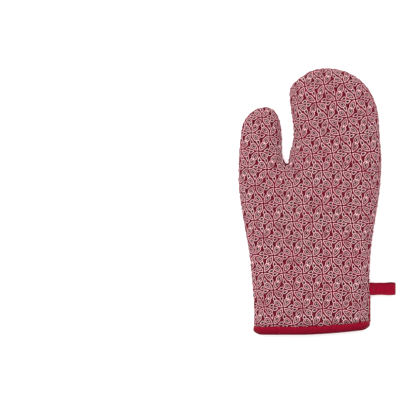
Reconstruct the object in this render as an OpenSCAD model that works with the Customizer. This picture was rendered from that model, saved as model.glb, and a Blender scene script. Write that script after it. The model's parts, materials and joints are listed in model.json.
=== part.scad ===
// Quilted oven mitt with a bound cuff and a hanging loop. It lies on its back panel with the
// fingers along +Y and the front panel up. The origin is under the middle of its outline.
// Each panel is cotton over wadding over a lining, and is divided where the mitt folds.

/* [Mitt] */
// Length from the cuff edge to the fingertips
length = 320; // [312:1:330]
// Width across the hand and the thumb
width = 172; // [168:1:178]
// Width of the cuff
cuff_w = 139; // [136:1:142]
// Height of the thumb tip above the cuff edge
thumb_top = 273; // [268:1:278]
// How far the right end of the cuff edge lifts from a straight line
cuff_rise = 6.5; // [0:0.5:7]

/* [Panels] */
// Thickness of the whole mitt as it lies
height = 22; // [20:1:28]
// Height of the side seam above the table
seam_z = 7.5; // [7:0.5:9]
// Width over which the front panel rounds off to the seam
front_round = 16; // [13:1:22]
// Width over which the back panel rounds off to the seam
back_round = 10; // [9:0.5:12]
// Printed cotton
cotton_t = 0.6; // [0.4:0.1:0.8]
// Wadding
wadding_t = 4.4; // [3:0.1:4.6]
// Lining
lining_t = 0.5; // [0.3:0.1:0.6]

/* [Folds] */
// Radius of the notch between thumb and fingers
crotch_r = 1.7; // [1.5:0.1:2.5]
// Angle of the thumb's fold line above the X axis
thumb_fold = 35; // [30:1:40]
// Free space between two parts that move
fold_gap = 0.4; // [0.3:0.1:0.6]

/* [Binding] */
// Width of the binding on each side of the cuff
bind_w = 10; // [8:0.5:10]
// Thickness of the binding
bind_t = 0.9; // [0.7:0.1:1]
// Distance from the cuff edge to the row of stitching
stitch_y = 8; // [6:0.5:8]

/* [Loop] */
// How far the loop stands out from the side seam
loop_l = 31; // [24:1:36]
// Width of the tape
tape_w = 14; // [10:1:18]
// Thickness of the folded tape
tape_t = 1.2; // [1:0.1:1.6]
// Height of the opening in the loop
loop_gap = 8; // [7:0.5:9]
// Height of the loop's middle above the cuff edge
loop_y = 54.5; // [45:0.5:70]

/* [Hidden] */

print_red = [0.64, 0.41, 0.44];
binding_red = [0.57, 0.06, 0.17];
thread_red = [0.45, 0.04, 0.12];
wadding_white = [0.93, 0.92, 0.88];
lining_cream = [0.88, 0.84, 0.76];

// Depths of the layers below the outer surface
wadding_in = cotton_t;
lining_in = cotton_t + wadding_t;
inside = cotton_t + wadding_t + lining_t;

// The outline, with x from the left of the thumb and y from the cuff edge. A row is a point and
// the direction of travel there. Each side runs away from the cuff, towards a tip.
cuff_left = 18.5;
cuff_right = cuff_left + cuff_w;
straight_y = 20;
crotch = [58.5, 207.5];
finger_tip = [106, length - fold_gap];
thumb_tip = [33, thumb_top];
fold_dir = [cos(thumb_fold), sin(thumb_fold)];
fold_up = [-sin(thumb_fold), cos(thumb_fold)];
thumb_root = crotch - (crotch.x - 1.2) / fold_dir.x * fold_dir;
root_turn = 97;

HAND_LEFT = [[cuff_left, straight_y, 90], [15, 78, 95], [thumb_root.x, thumb_root.y, root_turn]];
HAND_RIGHT = [[cuff_right, straight_y, 90], [cuff_right + 0.8, 85, 87], [width, crotch.y, 90]];
THUMB_LEFT = [[thumb_root.x, thumb_root.y, root_turn], [0, 190, 90], [3.6, thumb_top - 27, 82],
              [thumb_tip.x, thumb_tip.y, 0]];
THUMB_RIGHT = [[crotch.x - crotch_r * fold_dir.x, crotch.y - crotch_r * fold_dir.y, thumb_fold + 90],
               [53, 231, 90], [thumb_tip.x, thumb_tip.y, 180]];
FINGERS_LEFT = [[crotch.x + crotch_r, crotch.y, 90], [66, 240, 90], [61, length - 30, 90],
                [76, length - 10, 38], [finger_tip.x, finger_tip.y, 0]];
FINGERS_RIGHT = [[width, crotch.y, 90], [width - 2, 238, 93], [width - 11, length - 35, 115],
                 [finger_tip.x, finger_tip.y, 180]];

// Length of each curve handle as a share of the distance between its nodes
handle = 0.37;

function unit(a) = [cos(a), sin(a)];
function mix(a, b, f) = a * (1 - f) + b * f;
// Steps from 0 to 1 that are fine at both ends, and steps that are fine at the far end only
function both_fine(i, n) = (1 - cos(180 * i / n)) / 2;
function end_fine(i, n) = sin(90 * i / n);

// A point of a side, and the direction there, at a share f of its pieces
function piece(side, f) = min(floor(f * (len(side) - 1)), len(side) - 2);
function handles(a, b) = let (l = handle * norm([b.x - a.x, b.y - a.y]))
    [[a.x, a.y], [a.x, a.y] + l * unit(a.z), [b.x, b.y] - l * unit(b.z), [b.x, b.y]];
function bezier(p, s) = pow(1 - s, 3) * p[0] + 3 * s * pow(1 - s, 2) * p[1]
    + 3 * s * s * (1 - s) * p[2] + pow(s, 3) * p[3];
function slope(p, s) = pow(1 - s, 2) * (p[1] - p[0]) + 2 * s * (1 - s) * (p[2] - p[1])
    + s * s * (p[3] - p[2]);
function side_at(side, f) = let (k = piece(side, f), p = handles(side[k], side[k + 1]),
                                 s = f * (len(side) - 1) - k, d = slope(p, s))
    [bezier(p, s), d / norm(d)];

// The same point moved inwards by t. turn is +1 where the mitt is on the right of the side.
// lean moves the points at the thumb's root along the side, so they stay on the fold line.
function inset(side, f, t, turn, lean = 0) = let (q = side_at(side, f))
    q[0] + t * turn * [q[1].y, -q[1].x] + t * lean * q[1];
root_lean = tan(thumb_fold - root_turn + 90);
function lean_up(f) = root_lean * pow(f, 8);

// Depth of a point inside the outline
side_steps = 18;
OUTLINE = concat(
    [[cuff_left, 0]],
    [for (i = [0:side_steps - 1]) side_at(HAND_LEFT, i / side_steps)[0]],
    [for (i = [0:side_steps - 1]) side_at(THUMB_LEFT, i / side_steps)[0]],
    [for (i = [side_steps:-1:1]) side_at(THUMB_RIGHT, i / side_steps)[0]],
    [for (a = [180 + thumb_fold:29:360]) crotch + crotch_r * unit(a)],
    [for (i = [0:side_steps]) side_at(FINGERS_LEFT, i / side_steps)[0]],
    [for (i = [side_steps - 1:-1:0]) side_at(FINGERS_RIGHT, i / side_steps)[0]],
    [for (i = [side_steps - 1:-1:0]) side_at(HAND_RIGHT, i / side_steps)[0]],
    [[cuff_right, 0]]);
function to_edge(p, a, b) = let (ab = b - a, f = max(0, min(1, (p - a) * ab / (ab * ab))))
    norm(p - a - f * ab);
function depth(p) = min([for (i = [1:len(OUTLINE) - 1]) to_edge(p, OUTLINE[i - 1], OUTLINE[i])]);

// Height of the surface that lies t below the outer one, at depth d
function dome(s) = let (r = 1 - max(0, min(1, s))) sqrt(1 - r * r);
function z_of(front, d, t) = front
    ? seam_z + (height - seam_z - t) * dome((d - t) / (front_round - t))
    : seam_z - (seam_z - t) * dome((d - t) / (back_round - t));
function lift(p, front, t, rim = false) = [p.x, p.y, z_of(front, rim ? t : depth(p), t)];

// The notch between thumb and fingers divides the top edge of the hand into three stretches
thumb_cols = 9;
notch_cols = 5;
finger_cols = 10;
hand_cols = thumb_cols + notch_cols + finger_cols;
function hand_top(j, t, left, right) = j <= thumb_cols
    ? mix(left, crotch - (crotch_r + t) * fold_dir, both_fine(j, thumb_cols))
    : j <= thumb_cols + notch_cols
    ? crotch + (crotch_r + t)
        * unit(180 + thumb_fold + (180 - thumb_fold) * (j - thumb_cols) / notch_cols)
    : mix(crotch + [crotch_r + t, 0], right, both_fine(j - thumb_cols - notch_cols, finger_cols));
function in_notch(j) = j >= thumb_cols && j <= thumb_cols + notch_cols;

// The lower rows lie between the two sides of the binding, which squeezes the layers
function squeezed(t) = bind_t + t * (inside - 2 * bind_t) / inside;
function rise(x) = cuff_rise * pow(max(0, min(1, (x - 75) / (cuff_right - 75))), 1.6);
function cuff_point(front, j, t, y) = let (c = both_fine(j, hand_cols),
                                           x = mix(cuff_left + t, cuff_right - t, c),
                                           d = min(x - cuff_left, cuff_right - x))
    [x, y + rise(x), z_of(front, d, t)];
function cuff_row(front, t, y) = [for (j = [0:hand_cols]) cuff_point(front, j, t, y)];

hand_rows = 11;
function hand_grid(front, t) = let (
    l1 = inset(HAND_LEFT, 1, t, 1, root_lean), r1 = inset(HAND_RIGHT, 1, t, -1),
    l0 = inset(HAND_LEFT, 0, t, 1), r0 = inset(HAND_RIGHT, 0, t, -1))
    concat([cuff_row(front, squeezed(t), bind_t), cuff_row(front, squeezed(t), bind_w),
            cuff_row(front, t, bind_w + 2)],
    [for (k = [0:hand_rows]) let (v = end_fine(k, hand_rows),
                                  l = inset(HAND_LEFT, v, t, 1, lean_up(v)) - mix(l0, l1, v),
                                  r = inset(HAND_RIGHT, v, t, -1) - mix(r0, r1, v))
        [for (j = [0:hand_cols]) let (u = both_fine(j, hand_cols),
                                      top = hand_top(j, t, l1, r1))
            lift(mix(mix(l0, r0, u), top, v) + mix(l, r, u), front, t,
                 j == 0 || j == hand_cols || (k == hand_rows && in_notch(j)))]]);

// Thumb and fingers are rows between two sides that meet at a tip
function tip_grid(left, right, cols, rows, front, t, lean) =
    [for (k = [0:rows]) let (f = k / rows, l = inset(left, f, t, 1, lean * pow(1 - f, 8)),
                             r = inset(right, f, t, -1))
        [for (j = [0:cols])
            lift(k == rows ? l : mix(l, r, both_fine(j, cols)), front, t,
                 j == 0 || j == cols || k == rows)]];
function fingers_grid(front, t) = tip_grid(FINGERS_LEFT, FINGERS_RIGHT, 14, 12, front, t, 0);
function thumb_grid(front, t) = tip_grid(THUMB_LEFT, THUMB_RIGHT, 10, 12, front, t, root_lean);

// The solid between two grids of the same size, joined round their edges
module layer(outer, inner, front, closes = false) {
    rows = len(outer) - 1;
    cols = len(outer[0]) - 1;
    count = (rows + 1) * (cols + 1);
    function at(r, c) = r * (cols + 1) + c;
    function two(a, b, c, d) = [[a, b, c], [a, c, d]];
    border = concat([for (c = [0:cols]) at(0, c)], [for (r = [1:rows]) at(r, cols)],
                    closes ? [] : [for (c = [cols - 1:-1:1]) at(rows, c)],
                    [for (r = [rows:-1:1]) at(r, 0)]);
    skin = [for (r = [0:rows - 1], c = [0:cols - 1])
        each two(at(r, c), at(r, c + 1), at(r + 1, c + 1), at(r + 1, c))];
    skin_used = closes ? [for (f = skin) if (min(f) < at(rows - 1, cols) || f[1] < count - cols) f]
                       : skin;
    walls = [for (i = [0:len(border) - 1]) let (a = border[i], b = border[(i + 1) % len(border)])
        if (!(closes && a >= at(rows, 0) && b >= at(rows, 0)))
            each two(b, a, a + count, b + count)];
    faces = concat([for (f = skin_used) [f[2], f[1], f[0]]],
                   [for (f = skin_used) f + [count, count, count]], [for (f = walls) [f[2], f[1], f[0]]]);
    polyhedron([for (g = [outer, inner], row = g, p = row) p],
               front ? faces : [for (f = faces) [f[2], f[1], f[0]]]);
}

// Puts the outline over the origin
module placed() {
    translate([-(cuff_right + loop_l) / 2, -length / 2, 0]) children();
}

module hand_part(front, t0, t1) {
    placed() layer(hand_grid(front, t0), hand_grid(front, t1), front);
}
module fingers_part(front, t0, t1) {
    placed() translate([0, fold_gap, 0])
        layer(fingers_grid(front, t0), fingers_grid(front, t1), front, true);
}
module thumb_part(front, t0, t1) {
    placed() translate([fold_gap * fold_up.x, fold_gap * fold_up.y, 0])
        layer(thumb_grid(front, t0), thumb_grid(front, t1), front, true);
}

module hand_front_cotton() { color(print_red) hand_part(true, 0, wadding_in); }
module hand_front_wadding() { color(wadding_white) hand_part(true, wadding_in, lining_in); }
module hand_front_lining() { color(lining_cream) hand_part(true, lining_in, inside); }
module hand_back_cotton() { color(print_red) hand_part(false, 0, wadding_in); }
module hand_back_wadding() { color(wadding_white) hand_part(false, wadding_in, lining_in); }
module hand_back_lining() { color(lining_cream) hand_part(false, lining_in, inside); }

module fingers_front_cotton() { color(print_red) fingers_part(true, 0, wadding_in); }
module fingers_front_wadding() { color(wadding_white) fingers_part(true, wadding_in, lining_in); }
module fingers_front_lining() { color(lining_cream) fingers_part(true, lining_in, inside); }
module fingers_back_cotton() { color(print_red) fingers_part(false, 0, wadding_in); }
module fingers_back_wadding() { color(wadding_white) fingers_part(false, wadding_in, lining_in); }
module fingers_back_lining() { color(lining_cream) fingers_part(false, lining_in, inside); }

module thumb_front_cotton() { color(print_red) thumb_part(true, 0, wadding_in); }
module thumb_front_wadding() { color(wadding_white) thumb_part(true, wadding_in, lining_in); }
module thumb_front_lining() { color(lining_cream) thumb_part(true, lining_in, inside); }
module thumb_back_cotton() { color(print_red) thumb_part(false, 0, wadding_in); }
module thumb_back_wadding() { color(wadding_white) thumb_part(false, wadding_in, lining_in); }
module thumb_back_lining() { color(lining_cream) thumb_part(false, lining_in, inside); }

// A band round the cuff. Its section is a list of points, each a depth and a height.
module cuff_ring(section) {
    n = 2 * hand_cols;
    m = len(section);
    function ring_point(i, s) = i <= hand_cols ? cuff_point(true, i, s[0], s[1])
                                               : cuff_point(false, n - i, s[0], s[1]);
    function at(i, k) = (i % n) * m + k % m;
    placed() polyhedron([for (i = [0:n - 1], s = section) ring_point(i, s)],
        [for (i = [0:n - 1], k = [0:m - 1])
            each [[at(i, k), at(i + 1, k), at(i + 1, k + 1)],
                  [at(i, k), at(i + 1, k + 1), at(i, k + 1)]]]);
}

// The tape folds over the cuff edge. A groove holds the row of stitching.
groove_w = 0.6;
groove_t = 0.4;
module cuff_binding() {
    color(binding_red) cuff_ring([
        [0, 0], [0, stitch_y], [groove_t, stitch_y], [groove_t, stitch_y + groove_w],
        [0, stitch_y + groove_w], [0, bind_w], [bind_t, bind_w], [bind_t, bind_t],
        [inside - bind_t, bind_t], [inside - bind_t, bind_w], [inside, bind_w], [inside, 0]]);
}
module binding_stitching() {
    color(thread_red) cuff_ring([[0, stitch_y], [0, stitch_y + groove_w],
                                 [groove_t, stitch_y + groove_w], [groove_t, stitch_y]]);
}

// The loop swings on its root, which is round, and droops until its round end rests on the table
loop_r = loop_gap / 2 + tape_t;
loop_reach = loop_l - loop_r - fold_gap - tape_t;
droop = asin((seam_z - loop_r) / loop_reach);
// The two ends of the tape lie together here, and the bar tack goes through both
plies_l = 6;
tack_x = 2.5;
tack_w = 1.4;
tack_l = tape_w - 3;
tack_proud = 0.3;
module teardrop(start, r0, r1) {
    touch = acos((r0 - r1) / (loop_reach - start));
    polygon(concat(
        [for (i = [0:8]) [start, 0] + r0 * unit(mix(touch, 360 - touch, i / 8))],
        [for (i = [0:24]) [loop_reach, 0] + r1 * unit(mix(-touch, touch, i / 24))]));
}
module at_loop() {
    placed() translate([cuff_right + fold_gap + tape_t, loop_y, seam_z]) rotate([90, droop, 0])
        children();
}
module hanging_loop() {
    color(binding_red) at_loop() difference() {
        translate([0, 0, -tape_w / 2]) linear_extrude(tape_w) difference() {
            teardrop(0, tape_t, loop_r);
            teardrop(plies_l, 0.2, loop_gap / 2);
        }
        translate([tack_x, -loop_r, -tack_l / 2]) cube([tack_w, 2 * loop_r, tack_l]);
    }
}
module loop_bar_tack() {
    tack_h = tape_t + (loop_r - tape_t) * tack_x / loop_reach + tack_proud;
    color(thread_red) at_loop()
        translate([tack_x, -tack_h, -tack_l / 2]) cube([tack_w, 2 * tack_h, tack_l]);
}

hand_front_cotton();
hand_front_wadding();
hand_front_lining();
hand_back_cotton();
hand_back_wadding();
hand_back_lining();
fingers_front_cotton();
fingers_front_wadding();
fingers_front_lining();
fingers_back_cotton();
fingers_back_wadding();
fingers_back_lining();
thumb_front_cotton();
thumb_front_wadding();
thumb_front_lining();
thumb_back_cotton();
thumb_back_wadding();
thumb_back_lining();
cuff_binding();
binding_stitching();
hanging_loop();
loop_bar_tack();
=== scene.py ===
"""The looks of a quilted oven mitt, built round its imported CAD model.

The mitt lies on its back panel. Each panel is printed cotton over wadding over a lining. A cloth simulation
on a coarse mesh says how the cotton's fine mesh puffs up between its seams and quilting lines. All lengths
are in millimetres, in the mitt's own axes: x from the left of the thumb, y from the cuff edge and z from the
table. placed() turns them into metres in the CAD frame.
"""

import json
import math

import bpy
import numpy as np
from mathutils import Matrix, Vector
from mathutils.bvhtree import BVHTree
from mathutils.geometry import delaunay_2d_cdt
from mathutils.interpolate import poly_3d_calc
from mathutils.kdtree import KDTree


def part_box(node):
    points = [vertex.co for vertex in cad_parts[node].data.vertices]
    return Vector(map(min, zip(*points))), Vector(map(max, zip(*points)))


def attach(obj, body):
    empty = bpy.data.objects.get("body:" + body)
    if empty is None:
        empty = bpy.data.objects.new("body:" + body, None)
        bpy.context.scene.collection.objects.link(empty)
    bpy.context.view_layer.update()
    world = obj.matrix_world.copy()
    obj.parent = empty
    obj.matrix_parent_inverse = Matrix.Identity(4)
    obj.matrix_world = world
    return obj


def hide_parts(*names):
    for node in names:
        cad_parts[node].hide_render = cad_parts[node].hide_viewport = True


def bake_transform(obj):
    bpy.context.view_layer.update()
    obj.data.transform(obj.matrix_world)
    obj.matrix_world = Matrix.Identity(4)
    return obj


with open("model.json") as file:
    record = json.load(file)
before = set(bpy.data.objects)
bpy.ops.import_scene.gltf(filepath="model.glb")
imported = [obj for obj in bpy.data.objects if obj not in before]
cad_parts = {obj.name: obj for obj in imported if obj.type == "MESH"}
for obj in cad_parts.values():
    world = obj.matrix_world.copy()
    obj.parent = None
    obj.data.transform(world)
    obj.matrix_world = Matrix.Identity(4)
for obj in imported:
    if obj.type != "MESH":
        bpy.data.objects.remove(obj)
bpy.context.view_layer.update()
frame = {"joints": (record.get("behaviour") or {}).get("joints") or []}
joints = {j["name"]: j for j in frame["joints"]}

# -------- sizes from the frame

MM = 0.001
TINY = 1e-9


def node_box(name):
    """A CAD node's lowest and highest corner in millimetres, in the CAD frame."""
    low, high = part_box(name)
    return np.array(low) / MM, np.array(high) / MM


shell_low, shell_high = node_box("hand_front_cotton")
binding_low, binding_high = node_box("cuff_binding")
fingers_high = node_box("fingers_front_cotton")[1]
thumb_low, thumb_high = node_box("thumb_front_cotton")
loop_low, loop_high = node_box("hanging_loop")

ORIGIN = np.array([thumb_low[0], binding_low[1], 0.0])
SEAM_Z = shell_low[2]
HEIGHT = shell_high[2]
WIDTH = shell_high[0] - ORIGIN[0]
LENGTH = fingers_high[1] - ORIGIN[1]
CUFF_LEFT = binding_low[0] - ORIGIN[0]
CUFF_RIGHT = binding_high[0] - ORIGIN[0]
THUMB_TOP = thumb_high[1] - ORIGIN[1]

# The panels round off to the side seam over these widths
FRONT_ROUND, BACK_ROUND = 16, 10
CROWN, CROWN_IN, CROWN_OUT = 1.7, 2.9, 0.55
COTTON_T, WADDING_T, LINING_T = 0.6, 1.7, 0.5
WADDING_DEPTH, LINING_DEPTH = 3.2, 5.0
ALL_T = LINING_DEPTH + LINING_T

# The fold line at the thumb's root, from the thumb's flex joint
FOLD_AXIS = np.array(joints["thumb_flex"]["axis"][:2])
FOLD_UP = np.array([-FOLD_AXIS[1], FOLD_AXIS[0]])
FOLD_ANGLE = math.degrees(math.atan2(FOLD_AXIS[1], FOLD_AXIS[0]))

# The notch between thumb and fingers
CROTCH = np.array([58.5, 207.5])
CROTCH_R = 1.7

# The binding, and the line at which the cloth under it ends
BIND_W, BIND_T = 10, 0.9
SQUEEZE_END, SQUEEZE_OVER = 9.5, 3.5
CUFF_RISE, RISE_FROM, RISE_POWER = 6.5, 75, 1.6
CLOTH_EDGE, CLOTH_FOLLOWS = 8, 0.55
STITCH_Y = 8.3


def placed(points):
    """Points of the mitt's own axes, in millimetres, as metres in the CAD frame."""
    return (np.asarray(points, float) + ORIGIN) * MM


def lengths(rows):
    """The length of each row."""
    return np.linalg.norm(rows, axis=1)


def units(rows):
    """Each row at length 1."""
    return rows / np.maximum(lengths(rows), TINY)[:, None]


def totals(sizes):
    """The running total of sizes, from 0."""
    return np.concatenate([[0], np.cumsum(sizes)])


def line_way(line):
    """How far along a line of points each of them is."""
    return totals(lengths(np.diff(line, axis=0)))


def heading(degrees):
    """The direction at that angle from the X axis."""
    return np.array([math.cos(math.radians(degrees)), math.sin(math.radians(degrees))])


def rise(x):
    """How far the cuff edge lifts at x."""
    share = np.clip((x - RISE_FROM) / (CUFF_RIGHT - RISE_FROM), 0, 1)
    return CUFF_RISE * share ** RISE_POWER


def cloth_edge(x):
    """Where the cloth under the binding ends at x."""
    return CLOTH_EDGE + CLOTH_FOLLOWS * rise(x)


# -------- the outline

HANDLE = 0.37
thumb_root = CROTCH - (CROTCH[0] - 1.2) / FOLD_AXIS[0] * FOLD_AXIS
ROOT_TURN = 97
notch_start = CROTCH - CROTCH_R * FOLD_AXIS
FINGER_TIP = (106, LENGTH, 0)

# Each side runs away from the cuff. A row is a point and the direction of travel there, in degrees.
HAND_LEFT = [(CUFF_LEFT, 20, 90), (15, 78, 95), (*thumb_root, ROOT_TURN)]
HAND_RIGHT = [(CUFF_RIGHT, 20, 90), (CUFF_RIGHT + 0.8, 85, 87), (WIDTH, CROTCH[1], 90)]
THUMB_LEFT = [(*thumb_root, ROOT_TURN), (0, 190, 90), (3.6, THUMB_TOP - 27, 82), (33, THUMB_TOP, 0)]
THUMB_RIGHT = [(*notch_start, FOLD_ANGLE + 90), (53, 231, 90), (33, THUMB_TOP, 180)]
FINGERS_LEFT = [(CROTCH[0] + CROTCH_R, CROTCH[1], 90), (66, 240, 90), (61, LENGTH - 30, 90),
                (76, LENGTH - 10, 38), FINGER_TIP]
FINGERS_RIGHT = [(WIDTH, CROTCH[1], 90), (WIDTH - 2, 238, 93), (WIDTH - 10.2, LENGTH - 34.4, 115),
                 (FINGER_TIP[0], FINGER_TIP[1], 180)]


def curve(nodes, per_piece=60):
    """Points along a side: one cubic curve between each two nodes."""
    found = []
    s = np.linspace(0, 1, per_piece + 1)[:, None]
    for (x0, y0, a0), (x1, y1, a1) in zip(nodes, nodes[1:]):
        p0, p3 = np.array([x0, y0]), np.array([x1, y1])
        reach = HANDLE * np.linalg.norm(p3 - p0)
        p1 = p0 + reach * heading(a0)
        p2 = p3 - reach * heading(a1)
        piece = (1 - s) ** 3 * p0 + 3 * s * (1 - s) ** 2 * p1 + 3 * s * s * (1 - s) * p2 + s ** 3 * p3
        found.append(piece if not found else piece[1:])
    return np.concatenate(found)


def chained(*lines):
    """Several lines of points, end to end, as one."""
    return np.concatenate([lines[0]] + [line[1:] for line in lines[1:]])


arc = np.radians(np.linspace(180 + FOLD_ANGLE, 360, 13))
notch = CROTCH + CROTCH_R * np.stack([np.cos(arc), np.sin(arc)], axis=1)
left_start = np.array([[CUFF_LEFT, CLOTH_EDGE]])
right_start = np.array([[CUFF_RIGHT, cloth_edge(CUFF_RIGHT)]])
# With the mitt on the right of the direction of travel: the three stretches between the fold line's ends
SIDE_LOWER = np.concatenate([left_start, curve(HAND_LEFT)])
SIDE_THUMB = chained(curve(THUMB_LEFT), curve(THUMB_RIGHT)[::-1])
SIDE_FINGERS = np.concatenate([chained(notch, curve(FINGERS_LEFT), curve(FINGERS_RIGHT)[::-1],
                                       curve(HAND_RIGHT)[::-1]), right_start])
OUTLINE = chained(SIDE_LOWER, SIDE_THUMB, SIDE_FINGERS)
# The cloth goes on below its edge as far as depth is concerned
BELOW = -60
LONG_OUTLINE = np.concatenate([[[CUFF_LEFT, BELOW]], OUTLINE, [[CUFF_RIGHT, BELOW]]])


def nearest(points, line, block=4000):
    """For each point, the nearest place on a line of points.

    Returns the distance to it, the place, how far along the line it is, and the line's right-hand side there.
    """
    a, ab = line[:-1], np.diff(line, axis=0)
    size = np.maximum(lengths(ab), TINY)
    before = totals(size)[:-1]
    right = np.stack([ab[:, 1], -ab[:, 0]], axis=1) / size[:, None]
    found = []
    for i in range(0, len(points), block):
        p = points[i:i + block, None]
        f = np.clip(((p - a) * ab).sum(axis=2) / size ** 2, 0, 1)
        q = a + f[..., None] * ab
        gap = np.linalg.norm(p - q, axis=2)
        best = gap.argmin(axis=1)
        rows = np.arange(len(best))
        along = before[best] + f[rows, best] * size[best]
        found.append((gap[rows, best], q[rows, best], along, right[best]))
    return tuple(np.concatenate(part) for part in zip(*found))


def inside(points, ring):
    """Which points lie inside a closed ring of points."""
    found = np.zeros(len(points), bool)
    x, y = points[:, 0], points[:, 1]
    for (x0, y0), (x1, y1) in zip(ring, np.roll(ring, -1, axis=0)):
        if y0 != y1:
            crosses = (y0 > y) != (y1 > y)
            found ^= crosses & (x < x0 + (y - y0) * (x1 - x0) / (y1 - y0))
    return found


def spaced(line, step, finer=None):
    """The line's points at even steps. finer(point) says by how much a step is divided there."""
    sizes = lengths(np.diff(line, axis=0))
    if finer is not None:
        sizes = sizes * np.array([finer(p) for p in (line[1:] + line[:-1]) / 2])
    along = totals(sizes)
    at = np.linspace(0, along[-1], max(2, round(along[-1] / step) + 1))
    return np.stack([np.interp(at, along, line[:, k]) for k in (0, 1)], axis=1)


# -------- panels

# Quilting: two families of lines, which cross at the corners of diamonds
DIAMOND = np.array([51.6, 55.2])
DIAMOND_CORNER = np.array([87.2, 155.4])
QUILT_GAP = 1 / math.hypot(1 / DIAMOND[0], 1 / DIAMOND[1])
QUILT_SIDE = math.hypot(*DIAMOND) / 2
# Lines each way from that corner
QUILT_LINES = 12


def quilt_place(points):
    """Where points lie among the quilting lines: whole numbers of each coordinate are lines."""
    q = (points[:, :2] - DIAMOND_CORNER) / DIAMOND
    return np.stack([q[:, 0] + q[:, 1], q[:, 0] - q[:, 1]], axis=1)


def quilt_distance(points):
    """The distance to the nearest line of each family."""
    q = quilt_place(points)
    return np.abs(q - np.round(q)) * QUILT_GAP


def quilt_points(step):
    """Even points along every quilting line, as a list of lines."""
    per_side = max(1, round(QUILT_SIDE / step))
    along = np.linspace(-QUILT_LINES, QUILT_LINES, 2 * QUILT_LINES * per_side + 1)
    lines = []
    for k in range(-QUILT_LINES, QUILT_LINES + 1):
        for q0, q1 in ((np.full_like(along, k), along), (along, np.full_like(along, k))):
            lines.append(DIAMOND_CORNER + DIAMOND * np.stack([q0 + q1, q0 - q1], axis=1) / 2)
    return lines


def rounding(front, t):
    """The width and the height over which a surface at depth t rounds off."""
    return (FRONT_ROUND - t, HEIGHT - SEAM_Z - t) if front else (BACK_ROUND - t, SEAM_Z - t)


def surface_z(front, depth, t):
    """The height of the surface at depth t in the panel, over points that deep inside the outline."""
    width, tall = rounding(front, t)
    r = 1 - np.clip((depth - t) / (width * CROWN), 0, 1)
    z = tall * (1 - r ** CROWN_IN) ** CROWN_OUT
    return SEAM_Z + z if front else SEAM_Z - z


# How far in the rings along the seam go
RIM = 4.6


def ring_depths(front, t, step):
    """The depths of the rings along the seam, which are about step apart over the rounded edge."""
    width, tall = rounding(front, t)
    turn = math.acos(max(0, 1 - RIM / width))
    count = max(2, round(turn * tall / step))
    return t + width * (1 - np.cos(np.linspace(0, turn, count + 1)))


def side_frame(line):
    """The inward direction and the direction of travel at each point of a side."""
    travel = units(np.gradient(line, axis=0))
    return np.stack([travel[:, 1], -travel[:, 0]], axis=1), travel


NOTCH_FINER, NOTCH_REACH = 2.5, 5


def finer_at_notch(point):
    """How many more points a side has for its length, near the notch."""
    return 1 + NOTCH_FINER * math.exp(-(np.linalg.norm(point - CROTCH) / NOTCH_REACH) ** 2)


# How the rings lean over to follow the fold line at the thumb's root
ROOT_ANGLE = math.radians(FOLD_ANGLE - ROOT_TURN + 90)
ROOT_LEAN, FOLD_COS = math.tan(ROOT_ANGLE), math.cos(ROOT_ANGLE)
LEAN_REACH = 12
# A side's end this near the cloth's edge is at the cuff
AT_CUFF = 0.1


def strip(side, depths, step, leans=None):
    """Rings of points at those depths along one side. leans names its end at the thumb's root, if any."""
    line = spaced(side, step, finer_at_notch)
    inward, travel = side_frame(line)
    for i in (0, -1):
        if abs(line[i, 1] - cloth_edge(line[i, 0])) < AT_CUFF:
            inward[i] = [math.copysign(1, CROTCH[0] - line[i, 0]), 0]
    away = np.arange(len(line)) * step
    if leans == "end":
        away = away[::-1]
    lean = ROOT_LEAN * np.exp(-(away / LEAN_REACH) ** 2) if leans else np.zeros(len(line))
    return np.stack([line + d * (inward + lean[:, None] * travel) for d in depths], axis=1)


def joined(parts):
    """Several meshes, each with its points and faces, as one."""
    firsts = totals([len(points) for points, _ in parts])
    return (np.concatenate([points for points, _ in parts]),
            np.concatenate([faces + first for (_, faces), first in zip(parts, firsts)]))


def grid_faces(rows, cols):
    """Two triangles for each cell of a grid of points."""
    i = (np.arange(rows - 1)[:, None] * cols + np.arange(cols - 1)).ravel()
    return np.concatenate([np.stack([i, i + 1, i + cols + 1], axis=1),
                           np.stack([i, i + cols + 1, i + cols], axis=1)])


# The least distance between points that are placed apart, and the most along one quilting line, in steps
KEEP_OFF, JOIN_WITHIN = 0.6, 1.5


def filled(ring, step, quilted):
    """Points and triangles that fill a closed ring, with edges along the quilting lines."""
    low, high = ring.min(axis=0), ring.max(axis=0)
    lift = step * math.sqrt(3) / 2
    rows = np.arange(low[1], high[1], lift)
    cols = np.arange(low[0], high[0], step)
    x, y = np.meshgrid(cols, rows)
    x = x + (np.arange(len(rows)) % 2)[:, None] * step / 2
    grid = np.stack([x.ravel(), y.ravel()], axis=1)
    closed = np.concatenate([ring, ring[:1]])
    grid = grid[inside(grid, ring)]
    grid = grid[nearest(grid, closed)[0] > KEEP_OFF * step]
    points, edges = list(ring), [(i, (i + 1) % len(ring)) for i in range(len(ring))]
    if quilted:
        grid = grid[quilt_distance(grid).min(axis=1) > KEEP_OFF * step]
        known = {}
        for line in quilt_points(step):
            line = line[inside(line, ring)]
            if not len(line):
                continue
            line = line[nearest(line, closed)[0] > KEEP_OFF * step]
            before = None
            for p in line:
                key = (round(p[0], 3), round(p[1], 3))
                if key not in known:
                    known[key] = len(points)
                    points.append(p)
                if before is not None and np.linalg.norm(p - points[before]) < JOIN_WITHIN * step:
                    edges.append((before, known[key]))
                before = known[key]
    points += list(grid)
    made = delaunay_2d_cdt([Vector(p) for p in points], edges, [], 1, 1e-5)
    return np.array([tuple(v) for v in made[0]]), np.array(made[2], int)


SAME_PLACE = 0.01


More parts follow.
